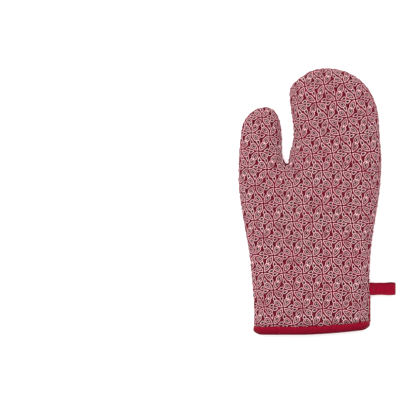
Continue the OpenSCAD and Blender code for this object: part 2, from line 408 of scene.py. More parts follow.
def merged(points, faces, zones):
    """The same mesh with one vertex where several were."""
    tree = KDTree(len(points))
    for i, p in enumerate(points):
        tree.insert((*p, 0), i)
    tree.balance()
    same = [min(i for _, i, _ in tree.find_range((*p, 0), SAME_PLACE)) for p in points]
    first, where = np.unique(same, return_inverse=True)
    faces = where[faces]
    keep = (faces[:, 0] != faces[:, 1]) & (faces[:, 1] != faces[:, 2]) & (faces[:, 2] != faces[:, 0])
    return points[first], faces[keep], zones[keep]


MAIN, THUMB = 0, 1


def panel(front, t, step, quilted=False):
    """A panel's surface at depth t: points, depths inside the outline, triangles and each one's zone."""
    depths = ring_depths(front, t, step)
    lower = strip(SIDE_LOWER, depths, step, "end")
    thumb = strip(SIDE_THUMB, depths, step, "start")
    fingers = strip(SIDE_FINGERS, depths, step)
    lower[-1] = thumb[0] = thumb_root + np.outer(depths / FOLD_COS, FOLD_AXIS)
    thumb[-1] = fingers[0] = notch_start - np.outer(depths, FOLD_AXIS)
    fold = spaced(np.array([thumb[0, -1], thumb[-1, -1]]), step)
    cuff = spaced(np.array([fingers[-1, -1], lower[0, -1]]), step)
    cuff[1:-1, 1] = cloth_edge(cuff[1:-1, 0])
    main_ring = np.concatenate([lower[:, -1], fold[1:-1], fingers[:, -1], cuff[1:-1]])
    thumb_ring = np.concatenate([thumb[:, -1], fold[::-1][1:-1]])
    parts, zones = [], []
    for zone, bands, ring in ((MAIN, (lower, fingers), main_ring), (THUMB, (thumb,), thumb_ring)):
        rims = [(band.reshape(-1, 2), grid_faces(*band.shape[:2])) for band in bands]
        for part in (*rims, filled(ring, step, quilted)):
            parts.append(part)
            zones.append(np.full(len(part[1]), zone))
    points, faces, zones = merged(*joined(parts), np.concatenate(zones))
    a, b, c = (points[faces[:, k]] for k in range(3))
    turned = (b[:, 0] - a[:, 0]) * (c[:, 1] - a[:, 1]) - (b[:, 1] - a[:, 1]) * (c[:, 0] - a[:, 0]) < 0
    faces[turned] = faces[turned][:, ::-1]
    if not front:
        faces = faces[:, ::-1]
    depth = np.maximum(nearest(points, LONG_OUTLINE)[0], t)
    solid = np.column_stack([points, surface_z(front, depth, t)])
    return solid, depth, faces, zones


def normals_of(points, faces):
    """The direction out of the surface at each vertex."""
    a, b, c = (points[faces[:, k]] for k in range(3))
    flat = np.cross(b - a, c - a)
    found = np.zeros_like(points)
    for k in range(3):
        np.add.at(found, faces[:, k], flat)
    return units(found)


def edges_of(faces):
    """The three edges of each triangle, as they run round it."""
    return np.concatenate([faces[:, [0, 1]], faces[:, [1, 2]], faces[:, [2, 0]]])


def smoothed(values, faces, times):
    """Values at vertices, averaged with their neighbours' a few times."""
    edges = edges_of(faces)
    edges = np.concatenate([edges, edges[:, ::-1]])
    count = np.bincount(edges[:, 0], minlength=len(values))[:, None]
    for _ in range(times):
        total = np.zeros_like(values)
        np.add.at(total, edges[:, 0], values[edges[:, 1]])
        values = 0.5 * values + 0.5 * total / np.maximum(count, 1)
    return values


def smooth_step(x):
    """0 up to x = 0, 1 from x = 1, and smooth in between."""
    x = np.clip(x, 0, 1)
    return x * x * (3 - 2 * x)


def linked(name, data):
    """A new object in the scene."""
    made = bpy.data.objects.new(name, data)
    bpy.context.scene.collection.objects.link(made)
    return made


def mesh_object(name, points, faces):
    """A new mesh object from points in the mitt's axes."""
    mesh = bpy.data.meshes.new(name)
    mesh.from_pydata(placed(points).tolist(), [], faces.tolist())
    return linked(name, mesh)


# -------- cloth simulation

# The cloth starts this far inside its final place, and is this much longer than the way it spans
SIM_STEP, SIM_FRAMES, SIM_PRESSURE, SIM_CAP = 3.2, 20, 24.0, 4.0
SLACK, SLACK_OVER, SPARE = 1.5, 3, 0.012
# What holds it: the quilting (within this share of a step, and this deep), the side seam and the cuff
QUILT_HELD, QUILT_HELD_FROM, SEAM_HELD, CUFF_HELD = 0.3, 4, 0.05, 4
CLOTH_SETTINGS = {
    "quality": 6, "mass": 0.002, "tension_stiffness": 5, "compression_stiffness": 5, "shear_stiffness": 4,
    "bending_stiffness": 0.02, "shrink_min": -SPARE, "shrink_max": -SPARE, "air_damping": 2,
    "use_pressure": True, "uniform_pressure_force": SIM_PRESSURE, "vertex_group_mass": "pins",
}


def puffed(start, faces, held):
    """The points of a closed cloth after the simulation. The held points stay in place."""
    body = mesh_object("puffing", start, faces)
    pins = body.vertex_groups.new(name="pins")
    pins.add(np.nonzero(held)[0].tolist(), 1.0, "REPLACE")
    cloth = body.modifiers.new("cloth", "CLOTH")
    for name, value in CLOTH_SETTINGS.items():
        setattr(cloth.settings, name, value)
    cloth.settings.effector_weights.gravity = 0
    cloth.collision_settings.use_collision = False
    cloth.point_cache.frame_start, cloth.point_cache.frame_end = 1, SIM_FRAMES
    for f in range(1, SIM_FRAMES + 1):
        bpy.context.scene.frame_set(f)
    seen = body.evaluated_get(bpy.context.evaluated_depsgraph_get())
    now = np.zeros(len(start) * 3)
    seen.data.vertices.foreach_get("co", now)
    mesh = body.data
    bpy.data.objects.remove(body)
    bpy.data.meshes.remove(mesh)
    bpy.context.scene.frame_set(1)
    return now.reshape(-1, 3) / MM - ORIGIN


def simulated():
    """How far the pressure of the wadding moves each panel: {front: (its points, triangles, moves)}."""
    parts = [panel(front, 0, SIM_STEP, True) for front in (True, False)]
    points, faces = joined([(part[0], part[2]) for part in parts])
    depth = np.concatenate([part[1] for part in parts])
    _, first, where = np.unique(np.round(points, 2), axis=0, return_index=True, return_inverse=True)
    where = where.ravel()
    flat, inner, faces = points[first], depth[first], where[faces]
    start = flat - normals_of(flat, faces) * (SLACK * smooth_step(inner / SLACK_OVER))[:, None]
    moves = np.zeros_like(flat)
    quilting = (quilt_distance(flat).min(axis=1) < QUILT_HELD * SIM_STEP) & (inner > QUILT_HELD_FROM)
    seam = inner < SEAM_HELD
    cuff = flat[:, 1] < cloth_edge(flat[:, 0]) + CUFF_HELD
    moves = puffed(start, faces, quilting | seam | cuff) - start
    moves *= np.minimum(1, SIM_CAP / np.maximum(lengths(moves), TINY))[:, None]
    front_moves, back_moves = np.split((moves + start - flat)[where], [len(parts[0][0])])
    return {True: (parts[0][0], parts[0][2], front_moves), False: (parts[1][0], parts[1][2], back_moves)}


def moved_by(points, coarse):
    """The simulated move at each point of a finer mesh, from the coarse triangle it lies on."""
    flat, faces, moves = coarse
    tree = BVHTree.FromPolygons(flat.tolist(), faces.tolist())
    found = np.zeros_like(points)
    for i, p in enumerate(points):
        where, _, face, _ = tree.find_nearest(Vector(p))
        corners = faces[face]
        share = poly_3d_calc([Vector(flat[k]) for k in corners], where)
        found[i] = share[0] * moves[corners[0]] + share[1] * moves[corners[1]] + share[2] * moves[corners[2]]
    return found


# -------- the printed cotton's shape

COTTON_STEP, MOVE_SMOOTHING = 1.7, 3
# The puffs and the quilting fade out at the side seam
PUFF_OVER, QUILT_FROM, QUILT_OVER = 1.5, 0.6, 3
# A quilting channel is a groove in a wider valley, with puckers beside it
CHANNEL_DEEP, CHANNEL_WIDE, VALLEY_SHARE, VALLEY_WIDE = 0.9, 1.3, 0.35, 4.5
PUCKER, PUCKER_LONG, PUCKER_FROM, PUCKER_WIDE, PUCKER_UNEVEN = 0.10, 3.9, 2.2, 1.8, 0.7
# The side seam draws the edge in, and gathers it
SEAM_DEEP, SEAM_WIDE = 0.55, 1.7
GATHER, GATHER_LONG, GATHER_WIDE = 0.32, 9.5, 5
# Beside the binding it pulls by this share only, and fully this far above it
PULL_LEAST, PULL_FULL_OVER = 0.35, 6
# How finely the rounded edge's section is measured
ARC_POINTS = 400
# The lowest that the back's cotton and every other layer come to the table
COTTON_LOW, LOW = 0.03, 0.02


def edge_arc(front, depth, t=0):
    """The way over the rounded edge from the seam to each point that deep.

    The second part is how much longer the rest of the way to the flat top is than it looks from above.
    """
    at = t + rounding(front, t)[0] * CROWN * np.linspace(0, 1, ARC_POINTS) ** 2
    way = totals(np.hypot(np.diff(at), np.diff(surface_z(front, at, t))))
    here = np.interp(depth, at, way)
    extra = (way[-1] - here) - (at[-1] - np.minimum(depth, at[-1]))
    return here + np.maximum(depth - at[-1], 0), extra


# Where the print turns: a middle, an angle, and where the turn starts along X and Y and over what width
PRINT_TURNS = (((111, 214), 6.3, (40, 30), (190, 50)), ((20, 148), -5.2, (72, -28), (140, 60)))


def cloth_place(points, front, t=0):
    """Where a point was on the flat cloth. The back panel's cloth is turned over."""
    flat = points[:, :2]
    depth, edge = nearest(flat, LONG_OUTLINE)[:2]
    out = (edge - flat) / np.maximum(depth, 1e-6)[:, None]
    place = flat + out * edge_arc(front, np.maximum(depth, t), t)[1][:, None]
    for pivot, turn, (x_from, x_over), (y_from, y_over) in PRINT_TURNS:
        share = smooth_step((flat[:, 0] - x_from) / x_over) * smooth_step((flat[:, 1] - y_from) / y_over)
        a = -math.radians(turn) * share
        x, y = (place - pivot).T
        place = pivot + np.stack([x * np.cos(a) - y * np.sin(a), x * np.sin(a) + y * np.cos(a)], axis=1)
    if not front:
        place[:, 0] = -place[:, 0]
    return place


def under_binding(points):
    """1 where the binding squeezes the layers, and 0 from just above it."""
    return 1 - smooth_step((points[:, 1] - rise(points[:, 0]) - SQUEEZE_END) / SQUEEZE_OVER)


def squeeze(t):
    """How much deeper a surface at depth t lies under the binding."""
    return BIND_T + t * (ALL_T - 2 * BIND_T) / ALL_T - t


def quilt_sink(points, inner):
    """How deep the quilting pulls the cotton in at each point. inner is 0 at the seam, where it stops."""
    gap = quilt_distance(points)
    place = quilt_place(points)
    sink = np.zeros(len(points))
    ripple = np.zeros(len(points))
    for k in (0, 1):
        groove = np.exp(-(gap[:, k] / CHANNEL_WIDE) ** 2)
        valley = np.exp(-(gap[:, k] / VALLEY_WIDE) ** 2)
        sink = np.maximum(sink, CHANNEL_DEEP * ((1 - VALLEY_SHARE) * groove + VALLEY_SHARE * valley))
        along = place[:, 1 - k] * QUILT_SIDE
        beside = np.exp(-((gap[:, k] - PUCKER_FROM) / PUCKER_WIDE) ** 2)
        uneven = 1 + PUCKER_UNEVEN * np.sin(along * 0.21 + 2 * np.round(place[:, k]))
        ripple += PUCKER * uneven * np.sin(2 * math.pi * along / PUCKER_LONG) * beside
    return (sink + ripple) * inner


def cotton_surface(front, coarse):
    """The printed cotton of one panel as it lies: points, triangles, zones and cloth places."""
    flat, depth, faces, zones = panel(front, 0, COTTON_STEP, True)
    moves = smoothed(moved_by(flat, coarse), faces, MOVE_SMOOTHING)
    points = flat + moves * smooth_step(depth / PUFF_OVER)[:, None]
    out = normals_of(points, faces)
    _, _, along, right = nearest(flat[:, :2], OUTLINE)
    points = points - out * quilt_sink(flat, smooth_step((depth - QUILT_FROM) / QUILT_OVER))[:, None]
    way = edge_arc(front, depth)[0]
    turn = 2 * math.pi * along / GATHER_LONG
    gather = GATHER * (np.sin(turn + 1.7 * np.sin(turn / 5.3)) + 0.6 * np.sin(1.83 * turn + 0.9))
    pull = SEAM_DEEP * np.exp(-(way / SEAM_WIDE) ** 2) + gather * np.exp(-(way / GATHER_WIDE) ** 2)
    above = smooth_step((flat[:, 1] - BIND_W - CUFF_RISE) / PULL_FULL_OVER)
    points[:, :2] += right * (pull * (PULL_LEAST + (1 - PULL_LEAST) * above))[:, None]
    points = points - normals_of(points, faces) * (squeeze(0) * under_binding(flat))[:, None]
    if not front:
        points[:, 2] = np.maximum(points[:, 2], COTTON_LOW)
    return points, faces, zones, cloth_place(flat, front), np.full(len(points), COTTON_T)


# -------- making pieces

def add_piece(name, points, faces, material, cloth=None, normals=None):
    """A new object from points in the mitt's axes. cloth is each point's place on the flat cloth."""
    piece = mesh_object(name, points, faces)
    mesh = piece.data
    mesh.update()
    mesh.shade_smooth()
    if cloth is None:
        cloth = points[:, :2]
    made = mesh.attributes.new("cloth", "FLOAT_VECTOR", "POINT")
    made.data.foreach_set("vector", np.column_stack([cloth, np.zeros(len(cloth))]).ravel().astype(np.float32))
    if normals is not None:
        mesh.normals_split_custom_set_from_vertices(normals.tolist())
    mesh.materials.append(material)
    return piece


def used(points, faces, *values):
    """Only the points that some face uses, with the faces and the values to match."""
    keep, where = np.unique(faces, return_inverse=True)
    return (points[keep], where.reshape(faces.shape), *(v[keep] for v in values))


def thick(points, faces, normals, depth):
    """A closed layer: the surface, the same surface that much deeper, and walls round its edges."""
    n = len(points)
    edges = edges_of(faces)
    _, first, count = np.unique(np.sort(edges, axis=1), axis=0, return_index=True, return_counts=True)
    a, b = edges[first[count == 1]].T
    walls = np.concatenate([np.stack([b, a, a + n], axis=1), np.stack([b, a + n, b + n], axis=1)])
    return (np.concatenate([points, points - normals * depth[:, None]]),
            np.concatenate([faces, faces[:, ::-1] + n, walls]))


def bends(piece, zone):
    """Bakes a piece's place into its mesh; a piece of the main zone and one of the thumb are treated the
    same.
    """
    if zone == MAIN:
        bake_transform(piece)
    else:
        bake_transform(piece)


def add_layer(name, layer, front, zone, surface, material):
    """One layer of one panel, in the main zone or in the thumb, in place of its CAD nodes."""
    points, faces, zones, cloth, thickness = surface
    normals = normals_of(points, faces)
    points, faces, normals, cloth, thickness = used(points, faces[zones == zone], normals, cloth, thickness)
    points, faces = thick(points, faces, normals, thickness)
    if not front:
        points[:, 2] = np.maximum(points[:, 2], LOW)
    piece = add_piece(name, points, faces, material, np.concatenate([cloth, cloth]),
                      np.concatenate([normals, -normals]))
    bends(piece, zone)
    side = "front" if front else "back"
    parts = ("hand", "fingers") if zone == MAIN else ("thumb",)
    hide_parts(*(f"{part}_{side}_{layer}" for part in parts))
    return piece


def tube_mesh(rings, closed=True):
    """Triangles over an array of rings by points by 3. closed joins the last ring to the first."""
    n, m = rings.shape[:2]
    i = np.arange(n if closed else n - 1)[:, None] * m
    k = np.arange(m)
    here, there = i + k, (i + m) % (n * m) + k
    here_next, there_next = i + (k + 1) % m, (i + m) % (n * m) + (k + 1) % m
    faces = np.concatenate([np.stack([here, there, there_next], axis=-1).reshape(-1, 3),
                            np.stack([here, there_next, here_next], axis=-1).reshape(-1, 3)])
    points = rings.reshape(-1, 3)
    if not closed:
        ends = [points[:m].mean(axis=0), points[-m:].mean(axis=0)]
        first = np.stack([np.full(m, n * m), k, (k + 1) % m], axis=1)
        last = np.stack([np.full(m, n * m + 1), (n - 1) * m + (k + 1) % m, (n - 1) * m + k], axis=1)
        points = np.concatenate([points, ends])
        faces = np.concatenate([faces, first, last])
    return points, faces


# A stitch: the share of its length, and the height and the width there in radii
STITCH_PROFILE = ((0.0, -1.1, 0.25), (0.10, -0.1, 0.85), (0.35, 0.45, 1.0), (0.65, 0.45, 1.0),
                  (0.90, -0.1, 0.85), (1.0, -1.1, 0.25))
THREAD_R, THREAD_SIDES = 0.22, 6


def add_stitches(name, stitches, radius=THREAD_R):
    """A piece with an arched length of thread for each stitch: its start, end and way out of the cloth."""
    starts, ends, ups = np.array(stitches, float).transpose(1, 0, 2)
    across = units(np.cross(ends - starts, ups))
    angles = 2 * math.pi * np.arange(THREAD_SIDES)[:, None] / THREAD_SIDES
    rings = []
    for share, lift, wide in STITCH_PROFILE:
        middle = starts + (ends - starts) * share + ups * (lift * radius)
        spoke = across[:, None] * np.cos(angles) + ups[:, None] * np.sin(angles)
        rings.append(middle[:, None] + radius * wide * spoke)
    points, faces = joined([tube_mesh(stitch, closed=False) for stitch in np.stack(rings, axis=1)])
    return add_piece(name, points, faces, thread)


# -------- materials

def feed(tree, socket, value):
    """Gives a node's input another node's output or a constant."""
    if isinstance(value, Value):
        value = value.source
    if isinstance(value, bpy.types.NodeSocket):
        tree.links.new(value, socket)
    else:
        socket.default_value = value


def new_node(tree, kind, inputs, **settings):
    """A new node with its settings, and its inputs by name or number. One that is None stays as it is."""
    node = tree.nodes.new(kind)
    for name, value in settings.items():
        setattr(node, name, value)
    for key, value in inputs.items():
        if value is not None:
            feed(tree, node.inputs[key], value)
    return node


class Value:
    """A number in a node tree. Python's operators add Math nodes."""

    def __init__(self, tree, source):
        self.tree, self.source = tree, source

    def math(self, operation, *others, clamp=False):
        """A Math node of this number and the others."""
        inputs = dict(enumerate((self, *others)))
        node = new_node(self.tree, "ShaderNodeMath", inputs, operation=operation, use_clamp=clamp)
        return Value(self.tree, node.outputs[0])

    def __add__(self, other):
        return self.math("ADD", other)

    def __sub__(self, other):
        return self.math("SUBTRACT", other)

    def __mul__(self, other):
        return self.math("MULTIPLY", other)

    def between(self, low, high):
        """0 at low, 1 at high, smooth in between. low may be above high."""
        node = new_node(self.tree, "ShaderNodeMapRange", {"Value": self, "From Min": low, "From Max": high},
                        interpolation_type="SMOOTHSTEP")
        return Value(self.tree, node.outputs["Result"])

    def band(self, middle, inner, outer):
        """1 within inner of middle, 0 beyond outer."""
        return (self - middle).math("ABSOLUTE").between(outer, inner)


def vector_math(tree, operation, a, b=None, scale=None):
    """The result of a Vector Math node, as a Value or a socket."""
    node = new_node(tree, "ShaderNodeVectorMath", {0: a, 1: b, "Scale": scale}, operation=operation)
    if operation in ("DOT_PRODUCT", "LENGTH"):
        return Value(tree, node.outputs["Value"])
    return node.outputs["Vector"]


def srgb(colour, share=1):
    """An 8-bit sRGB colour times share, as linear RGBA."""
    parts = [c * share / 255 for c in colour]
    return (*(c / 12.92 if c <= 0.04045 else ((c + 0.055) / 1.055) ** 2.4 for c in parts), 1)


def mix_colour(tree, share, a, b):
    """A Mix node's colour. a and b are sockets or linear colours."""
    return new_node(tree, "ShaderNodeMix", {0: share, 6: a, 7: b}, data_type="RGBA").outputs[2]


def noise(tree, cloth, scale, detail):
    """Noise from 0 to 1 over the cloth. scale is in patches per millimetre."""
    inputs = {"Vector": cloth, "Scale": scale, "Detail": detail}
    return Value(tree, new_node(tree, "ShaderNodeTexNoise", inputs).outputs[0])


# A weave's yarns wander by up to WOBBLE radians, in patches that are about one pitch wide
PATCH, WOBBLE, YARN_SHARE, WOBBLE_SHARE = 0.9, 2.2, 0.35, 0.3


def weave(tree, cloth, pitch):
    """The height of a plain weave, from 0 to 1. pitch is two yarns wide, and the yarns are uneven."""
    wobble = noise(tree, cloth, PATCH / pitch, 2.0)
    parts = new_node(tree, "ShaderNodeSeparateXYZ", {0: cloth}).outputs
    x, y = ((Value(tree, parts[k]) * (2 * math.pi / pitch) + wobble * WOBBLE).math("SINE") for k in (0, 1))
    return (x * y) * YARN_SHARE + wobble * WOBBLE_SHARE + YARN_SHARE


def new_cloth_material(name, rough, sheen):
    """A material, its node tree, and the place on the flat cloth in millimetres."""
    material = bpy.data.materials.new(name)
    material.use_nodes = True
    tree = material.node_tree
    inputs = tree.nodes["Principled BSDF"].inputs
    inputs["Roughness"].default_value = rough
    inputs["Specular IOR Level"].default_value = 0.1
    inputs["Sheen Weight"].default_value = sheen
    inputs["Sheen Roughness"].default_value = 0.5
    place = new_node(tree, "ShaderNodeAttribute", {}, attribute_name="cloth")
    return material, tree, place.outputs["Vector"]


def covered(tree, colour, height, deep, strength):
    """Gives a material's shader its colour, and bumps that are deep millimetres high."""
    inputs = {"Strength": strength, "Distance": deep * MM, "Height": height}
    shader = tree.nodes["Principled BSDF"]
    feed(tree, shader.inputs["Base Color"], colour)
    feed(tree, shader.inputs["Normal"], new_node(tree, "ShaderNodeBump", inputs).outputs["Normal"])


# The print repeats along these two steps from a crossing of its lines at PRINT_AT
STEP_A, STEP_B = np.array([23.55, -0.68]), np.array([11.75, 20.36])
PRINT_AT = (88.9, 93.7, 0)
STEPS = np.stack([STEP_A, STEP_B])
ACROSS = np.linalg.inv(STEPS.T)


def repeated(tree, place, about):
    """A place on the cloth as a step from the nearest copy of a point of the print."""
    rel = vector_math(tree, "SUBTRACT", place, about)
    turns = [vector_math(tree, "DOT_PRODUCT", rel, (*row, 0)).math("ROUND") for row in ACROSS]
    for count, step in zip(turns, STEPS):
        rel = vector_math(tree, "SUBTRACT", rel, vector_math(tree, "SCALE", (*step, 0), scale=count))
    return rel


def leaf(tree, place, tip, heart, tip_r, heart_r, curve_power):
    """The distance to the outline of the nearest copy of a leaf, below 0 inside it.

    A leaf is round at its heart and narrows to its tip. Above a power of 1 its sides are curved.
    """
    rel = repeated(tree, place, (*heart, 0))
    along = np.subtract(tip, heart)
    size = float(np.linalg.norm(along))
    along = along / size
    taper = (heart_r - tip_r) / size
    slant = taper / math.sqrt(1 - taper * taper)
    y = vector_math(tree, "DOT_PRODUCT", rel, (*along, 0))
    x = vector_math(tree, "DOT_PRODUCT", rel, (along[1], -along[0], 0)).math("ABSOLUTE")
    share = (y - x * slant).math("DIVIDE", size, clamp=True)
    off = y - share * size
    gap = (x * x + off * off).math("SQRT")
    return gap - (share.math("POWER", curve_power) * (tip_r - heart_r) + heart_r)


# Leaves of the print, from the crossing: tip, heart, the radius at each, and the power of its sides.
# Each leaf has a partner, which is turned half round about the middle of a step.
LENS = ((1.4, 1.4), (4.7, 7.45), 0.18, 3.16, 1.4), STEP_B
DROP = ((1.5, -1.3), (7.45, -5.7), 0.14, 3.10, 1.55), STEP_A - STEP_B
STEM = ((10.95, -14.4), (9.9, -9.9), 0.15, 2.05, 1.0), STEP_A - STEP_B
BUD = ((6.0, 0.5), (10.35, 1.8), 0.12, 2.05, 1.35), STEP_A
JOIN = 1.0


def pair(tree, place, shape, join=0.0):
    """The distance to a leaf or its partner, run together over join."""
    (tip, heart, *form), step = shape
    one = leaf(tree, place, tip, heart, *form)
    other = leaf(tree, place, step - tip, step - heart, *form)
    return one.math("SMOOTH_MIN", other, join) if join else one.math("MINIMUM", other)


# The print's colours, in 8-bit sRGB
GROUND_DARK, GROUND_LIGHT = (70, 4, 18), (112, 6, 32)
LEAF_FILL, LEAF_HEART = (90, 6, 26), (24, 0, 3)
LINE_PINK, LINE_PALE, LINE_FADED = (255, 186, 198), (255, 212, 218), (255, 204, 210)


def printed_cotton():
    """Dark red cotton with an all-over print of pale pink leaves."""
    material, tree, cloth = new_cloth_material("printed_cotton", 0.88, 0.10)
    warp = new_node(tree, "ShaderNodeTexNoise", {"Vector": cloth, "Scale": 0.12}).outputs["Color"]
    shift = vector_math(tree, "SUBTRACT", warp, (0.5, 0.5, 0.5))
    shift = vector_math(tree, "MULTIPLY", shift, (1.1, 1.1, 0))
    place = vector_math(tree, "SUBTRACT", vector_math(tree, "ADD", cloth, shift), PRINT_AT)
    drop = pair(tree, place, DROP)
    inside_line = pair(tree, place, LENS).math("MINIMUM", drop)
    outside_line = pair(tree, place, LENS, JOIN).math("MINIMUM", drop)
    small = pair(tree, place, STEM).math("MINIMUM", pair(tree, place, BUD))
    knot = vector_math(tree, "LENGTH", repeated(tree, place, (*STEP_B / 2, 0)))
    light_share = noise(tree, cloth, 0.3, 4.0).between(0.35, 0.65)
    colour = mix_colour(tree, light_share, srgb(GROUND_DARK), srgb(GROUND_LIGHT))
    patches = noise(tree, cloth, 0.04, 3.0).between(0.40, 0.62)
    line = mix_colour(tree, patches, srgb(LINE_PINK), srgb(LINE_FADED))
    worn = noise(tree, cloth, 1.7, 2.0).between(0.62, 0.80) * 0.35
    faint = noise(tree, cloth, 0.11, 1.0).between(0.50, 0.70) * 0.40
    # the inks, one over the other: distances to the leaves' outlines say where each one is
    for share, ink in (
        (outside_line.between(0.1, -0.1), srgb(LEAF_FILL)),
        (outside_line.band(0.14, 0.27, 0.39), line),
        (inside_line.band(-1.75, 0.14, 0.26), srgb(LINE_FADED)),
        (inside_line.between(-1.96, -2.08), srgb(LEAF_HEART)),
        (knot.between(1.1, 0.8), srgb(LINE_PALE)),
        (small.between(0.1, -0.1), line),
        (small.between(-0.56, -0.70), srgb(LEAF_HEART)),
        (worn + faint, srgb(GROUND_LIGHT)),
    ):
        colour = mix_colour(tree, share, colour, ink)
    covered(tree, colour, weave(tree, cloth, 0.62), 0.09, 0.5)
    return material


def plain_cloth(name, dark, light, pitch, rough=0.85, sheen=0.2, shaded_from=None):
    """A plain weave of nearly one colour. Across the cloth, past the place given last, it is darker: painted
    shade for a roll of tape turned away from the light.
    """
    material, tree, cloth = new_cloth_material(name, rough, sheen)
    colour = mix_colour(tree, noise(tree, cloth, 0.22, 5.0).between(0.30, 0.70), srgb(dark), srgb(light))
    # painted shade: past that line across the cloth the colour goes darker, standing in for the shade on the
    # tape's lower roll
    if shaded_from is not None:
        across = vector_math(tree, "DOT_PRODUCT", cloth, (0, 1, 0))
        colour = mix_colour(tree, across.between(shaded_from, shaded_from + 9), colour, srgb(dark, 0.78))
    yarn = weave(tree, cloth, pitch)
    colour = mix_colour(tree, yarn * 0.22, colour, srgb(dark, 0.55))
    covered(tree, colour, yarn, 0.12, 0.55)
    return material


def fluffy(name, colour):
    """Wadding: matted fibres."""
    material, tree, cloth = new_cloth_material(name, 0.95, 0.3)
    fibres = noise(tree, cloth, 1.2, 8.0)
    covered(tree, mix_colour(tree, fibres, srgb(colour, 0.8), srgb(colour)), fibres, 0.6, 0.6)
    return material


cotton = printed_cotton()
# the red tape has painted shade across the cloth from 2 mm on: darker, as on the binding's lower roll turned
# from the light
tape = plain_cloth("red_tape", (138, 0, 33), (159, 0, 42), 0.55, sheen=0.03, shaded_from=2)
thread = plain_cloth("red_thread", (134, 2, 33), (156, 6, 42), 0.3, rough=0.7)
lining_cloth = plain_cloth("lining_cotton", (214, 204, 186), (232, 224, 208), 0.7)
wadding_fluff = fluffy("cotton_wadding", (236, 233, 224))

# -------- the three layers of each panel

coarse = simulated()
surfaces = {front: cotton_surface(front, coarse[front]) for front in (True, False)}
SIDE_NAMES = {True: "front", False: "back"}
ZONE_NAMES = {MAIN: "", THUMB: "_thumb"}

for front in (True, False):
    for zone in (MAIN, THUMB):
        stem = SIDE_NAMES[front] + ZONE_NAMES[zone]
        piece = add_layer(f"{stem}_cotton", "cotton", front, zone, surfaces[front], cotton)
    for layer, t, deep, step, material in (
        ("wadding", WADDING_DEPTH, WADDING_T, 4.0, wadding_fluff),
        ("lining", LINING_DEPTH, LINING_T, 2.6, lining_cloth),
    ):
        points, _, faces, zones = panel(front, t, step)
        pressed = under_binding(points)
        cloth = cloth_place(points, front, t)
        thickness = deep + (squeeze(t + deep) - squeeze(t)) * pressed
        points = points - normals_of(points, faces) * (squeeze(t) * pressed)[:, None]
        surface = (points, faces, zones, cloth, thickness)
        for zone in (MAIN, THUMB):
            stem = SIDE_NAMES[front] + ZONE_NAMES[zone]
            piece = add_layer(f"{stem}_{layer}", layer, front, zone, surface, material)

# -------- quilting thread

STITCH, STITCH_STEP = 2.6, 3.6
# No stitches nearer than this to the side seam and to the binding
SEAM_OFF, BIND_OFF = 3.5, 2
# Rays down to a panel start this far away
HIGH = 60


def quilting_stitches(front):
    """The stitches of a panel in each zone."""
    points, faces = surfaces[front][:2]
    tree = BVHTree.FromPolygons(points.tolist(), faces.tolist())
    up = 1 if front else -1
    found = {MAIN: [], THUMB: []}
    per_stitch = round(QUILT_SIDE / round(QUILT_SIDE / STITCH_STEP), 4)
    for line in quilt_points(per_stitch):
        half = (line[1] - line[0]) / np.linalg.norm(line[1] - line[0]) * STITCH / 2
        middle = (line[1:] + line[:-1]) / 2
        middle = middle[inside(middle, OUTLINE)]
        if not len(middle):
            continue
        deep = nearest(middle, LONG_OUTLINE)[0] > SEAM_OFF
        clear = middle[:, 1] > rise(middle[:, 0]) + BIND_W + BIND_OFF
        for at in middle[deep & clear]:
            hits = [tree.ray_cast(Vector((*place, up * HIGH)), Vector((0, 0, -up)))[:2]
                    for place in (at - half, at + half)]
            if any(place is None for place, _ in hits):
                continue
            (start, start_up), (end, end_up) = hits
            in_thumb = (at - thumb_root) @ FOLD_UP > 0 and at[0] < CROTCH[0]
            found[THUMB if in_thumb else MAIN].append((start, end, (start_up + end_up).normalized()))
    return found


for front in (True, False):
    for zone, stitches in quilting_stitches(front).items():
        piece = add_stitches(f"{SIDE_NAMES[front]}{ZONE_NAMES[zone]}_quilting", stitches)
        bends(piece, zone)

# -------- the cuff binding

CUFF_STATIONS = 260
BIND_SECTION = (
    # depth in the panel and height above the cuff edge: outer leg, roll, inner leg, and back inside the tape
    (0.55, 9.55), (0.40, 9.90), (0.05, 10.0), (-0.25, 9.85), (-0.38, 9.45), (-0.36, 8.9), (-0.30, 8.3),
    (-0.36, 7.6), (-0.45, 6.2), (-0.48, 4.8), (-0.40, 3.4), (-0.18, 2.2), (0.28, 1.2), (1.00, 0.45),
    (1.90, 0.08), (2.75, 0.0), (3.60, 0.10), (4.45, 0.5), (5.10, 1.25), (5.45, 2.3), (5.55, 3.6),
    (5.52, 6.0), (5.45, 8.3), (5.50, 9.4), (5.35, 9.85), (5.00, 9.95), (4.75, 9.5),
    (4.70, 6.0), (4.62, 3.2), (4.20, 1.75), (3.40, 1.05), (2.60, 0.9), (1.80, 1.05), (0.95, 1.8),
    (0.50, 3.2), (0.46, 6.0),
)
STITCH_STEP_CUFF, STITCH_SPAN = 3.1, (0.10, 0.90)
# The tape's outer leg is shallower than this, and each stitch pinches it
OUTER_LEG, PINCH, PINCH_WIDE = 0.3, 0.22, 0.7
# Its face is softly wavy, and its upper edge uneven
SOFT, UNEVEN, FINE_UNEVEN = 0.10, 0.22, 0.12
# The binding's lower edge is drawn up at the side seams
CORNER_LIFT, CORNER_WIDE = 2.6, 4.5


def cuff_points(turn, t, y):
    """Points round the cuff. turn is 0 to 1 over the front from the left, and 1 to 2 back over the rear."""
    front = turn < 1
    share = np.where(front, turn, 2 - turn)
    x = CUFF_LEFT + t + share * (CUFF_RIGHT - CUFF_LEFT - 2 * t)
    depth = np.minimum(x - CUFF_LEFT, CUFF_RIGHT - x)
    z = np.where(front, surface_z(True, depth, t), surface_z(False, depth, t))
    lift = CORNER_LIFT * np.exp(-(depth / CORNER_WIDE) ** 2) * (1 - y / BIND_W)
    return np.stack(np.broadcast_arrays(x, y + lift + rise(x), z), axis=-1)


